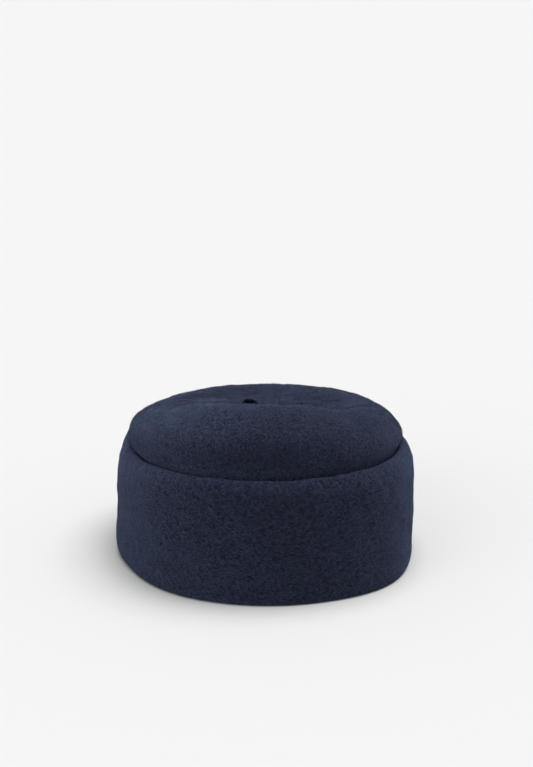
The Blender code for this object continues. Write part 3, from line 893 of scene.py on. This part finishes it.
def fibre_material(name):
    """One loose fibre: its tone picks a blue between the dark and the pale one."""
    material = bpy.data.materials.new(name)
    material.use_nodes = True
    tree = material.node_tree
    shader = tree.nodes["Principled BSDF"]
    tone = add(tree, "ShaderNodeAttribute", attribute_name="tone")
    tree.links.new(mix_colours(tree, tone.outputs["Fac"], NAVY_DARK, NAVY_PALE), shader.inputs["Base Color"])
    shader.inputs["Roughness"].default_value = 0.8
    shader.inputs["Specular IOR Level"].default_value = 0.2
    return material


FINISHES = {
    "felt_cuff": ("cuff", "cuff_felt", felt_material("cuff_wool")),
    "felt_crown": ("crown", "crown_felt", felt_material("crown_wool", length=0.0023)),
    "felt_stub": ("stub", "stub_felt", felt_material("stub_wool", length=0.0020)),
}
for piece in (cuff_piece, crown_piece, stub_piece):
    node, slot, material = FINISHES[piece.name]
    piece.data.materials.append(material)
    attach(piece, "root")
    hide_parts(node)
fibre = fibre_material("wool_fibre")
for piece, slot in ((cuff_nap, "cuff_felt"), (crown_nap, "crown_felt")):
    piece.data.materials.append(fibre)
    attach(piece, "root")

# %% [markdown]
# ## The studio
# The hat stands on a seamless pale sweep. One wide floor keeps the backdrop the same white up to the horizon. A broad
# high sun from the right puts the soft shadow at the hat's left, and a low, weak one from the left lightens the felt
# there. In the photograph the front of the hat is dark although its floor is almost white. So the floor and the sky
# are pale to the camera and throw less light on the felt: a Light Path node tells the two kinds of ray apart.

# %% Floor, sky and suns
FLOOR_SIZE = 60.0
half = FLOOR_SIZE / 2
floor_data = bpy.data.meshes.new("floor")
floor_data.from_pydata([(-half, -half, 0), (half, -half, 0), (half, half, 0), (-half, half, 0)], [], [(0, 1, 2, 3)])
floor = bpy.data.objects.new("floor", floor_data)
bpy.context.scene.collection.objects.link(floor)
paper = bpy.data.materials.new("paper")
paper.use_nodes = True
tree = paper.node_tree
shader = tree.nodes["Principled BSDF"]
shader.inputs["Roughness"].default_value = 0.9
shader.inputs["Specular IOR Level"].default_value = 0.0
seen = tree.nodes.new("ShaderNodeLightPath")
PAPER_BOUNCE = (0.34, 0.34, 0.34, 1)
PAPER_SEEN = (0.86, 0.86, 0.86, 1)
paper_colour = mix_colours(tree, seen.outputs["Is Camera Ray"], PAPER_BOUNCE, PAPER_SEEN)
tree.links.new(paper_colour, shader.inputs["Base Color"])
floor_data.materials.append(paper)
floor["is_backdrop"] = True

sky = bpy.data.worlds.new("sky")
bpy.context.scene.world = sky
sky.use_nodes = True
tree = sky.node_tree
seen = tree.nodes.new("ShaderNodeLightPath")
SKY_LIGHT = (0.33, 0.33, 0.33, 1)
SKY_SEEN = (0.92, 0.92, 0.92, 1)
backdrop = tree.nodes["Background"]
tree.links.new(mix_colours(tree, seen.outputs["Is Camera Ray"], SKY_LIGHT, SKY_SEEN), backdrop.inputs[0])
backdrop.inputs[1].default_value = 1.0


def sun(name, energy, angle, towards):
    """A sun of a strength and an apparent width in degrees, that shines towards a direction."""
    data = bpy.data.lights.new(name, "SUN")
    data.energy = energy
    data.angle = np.radians(angle)
    lamp = bpy.data.objects.new(name, data)
    bpy.context.scene.collection.objects.link(lamp)
    lamp.rotation_euler = Vector(towards).to_track_quat("-Z", "Y").to_euler()


sun("high_sun", energy=2.18, angle=48, towards=(-0.21, 0.02, -0.975))
sun("side_fill", energy=0.80, angle=60, towards=(0.88, 0.38, -0.22))
print("the floor is", FLOOR_SIZE, "m wide, under", len(bpy.data.lights), "suns")

# %% [markdown]
# ## The camera
# The photograph looks a little down on the hat, from about a metre away and 25 degrees to its left. The numbers below
# were worked out from how the hem's oval is foreshortened. The frame is 533 by 767 pixels, and a lens of 75 mm on
# a 36 mm long side gives the hat its size in it.

# %% Place the camera
PHOTO_LONG_SIDE = 767
FOCAL_PIXELS = 1600.0
CAMERA_TURN = np.radians(-25.1)
CAMERA_DOWN = np.radians(14.94)
EYE_RIGHT = 0.0026
EYE_BACK = 0.9927
EYE_UP = 0.3756
rightward = np.array([np.cos(CAMERA_TURN), np.sin(CAMERA_TURN), 0])
away = np.array([-np.sin(CAMERA_TURN), np.cos(CAMERA_TURN), 0])
eye = EYE_RIGHT * rightward - EYE_BACK * away + np.array([0, 0, EYE_UP]) - MIDDLE
looking = away * np.cos(CAMERA_DOWN) - np.array([0, 0, np.sin(CAMERA_DOWN)])
camera_data = bpy.data.cameras.new("camera")
camera_data.sensor_width = 36.0
camera_data.lens = FOCAL_PIXELS / PHOTO_LONG_SIDE * camera_data.sensor_width
camera_data.clip_end = 200.0
camera = bpy.data.objects.new("camera", camera_data)
bpy.context.scene.collection.objects.link(camera)
top = np.cross(rightward, looking)
turned = Matrix([list(rightward), list(top), list(-looking)]).transposed().to_4x4()
turned.translation = Vector(eye)
camera.matrix_world = turned
bpy.context.scene.camera = camera
bpy.context.scene.view_settings.view_transform = "Standard"
print("the camera stands", round(float(np.linalg.norm(eye)), 3), "m from the middle of the hat's foot")

# %% [markdown]
# ## Sizes, and the last line
# The visual pieces may stand proud of the solids by a fibre's length and no more. Both boxes are written down, so
# that they can be compared.

# %% Write both boxes and finish
VISUAL_BOX = [list(corner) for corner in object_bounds()]
for name, box in (("solids", CAD_BOX), ("visual", VISUAL_BOX)):
    print(name, [[round(1000 * v, 1) for v in corner] for corner in box])
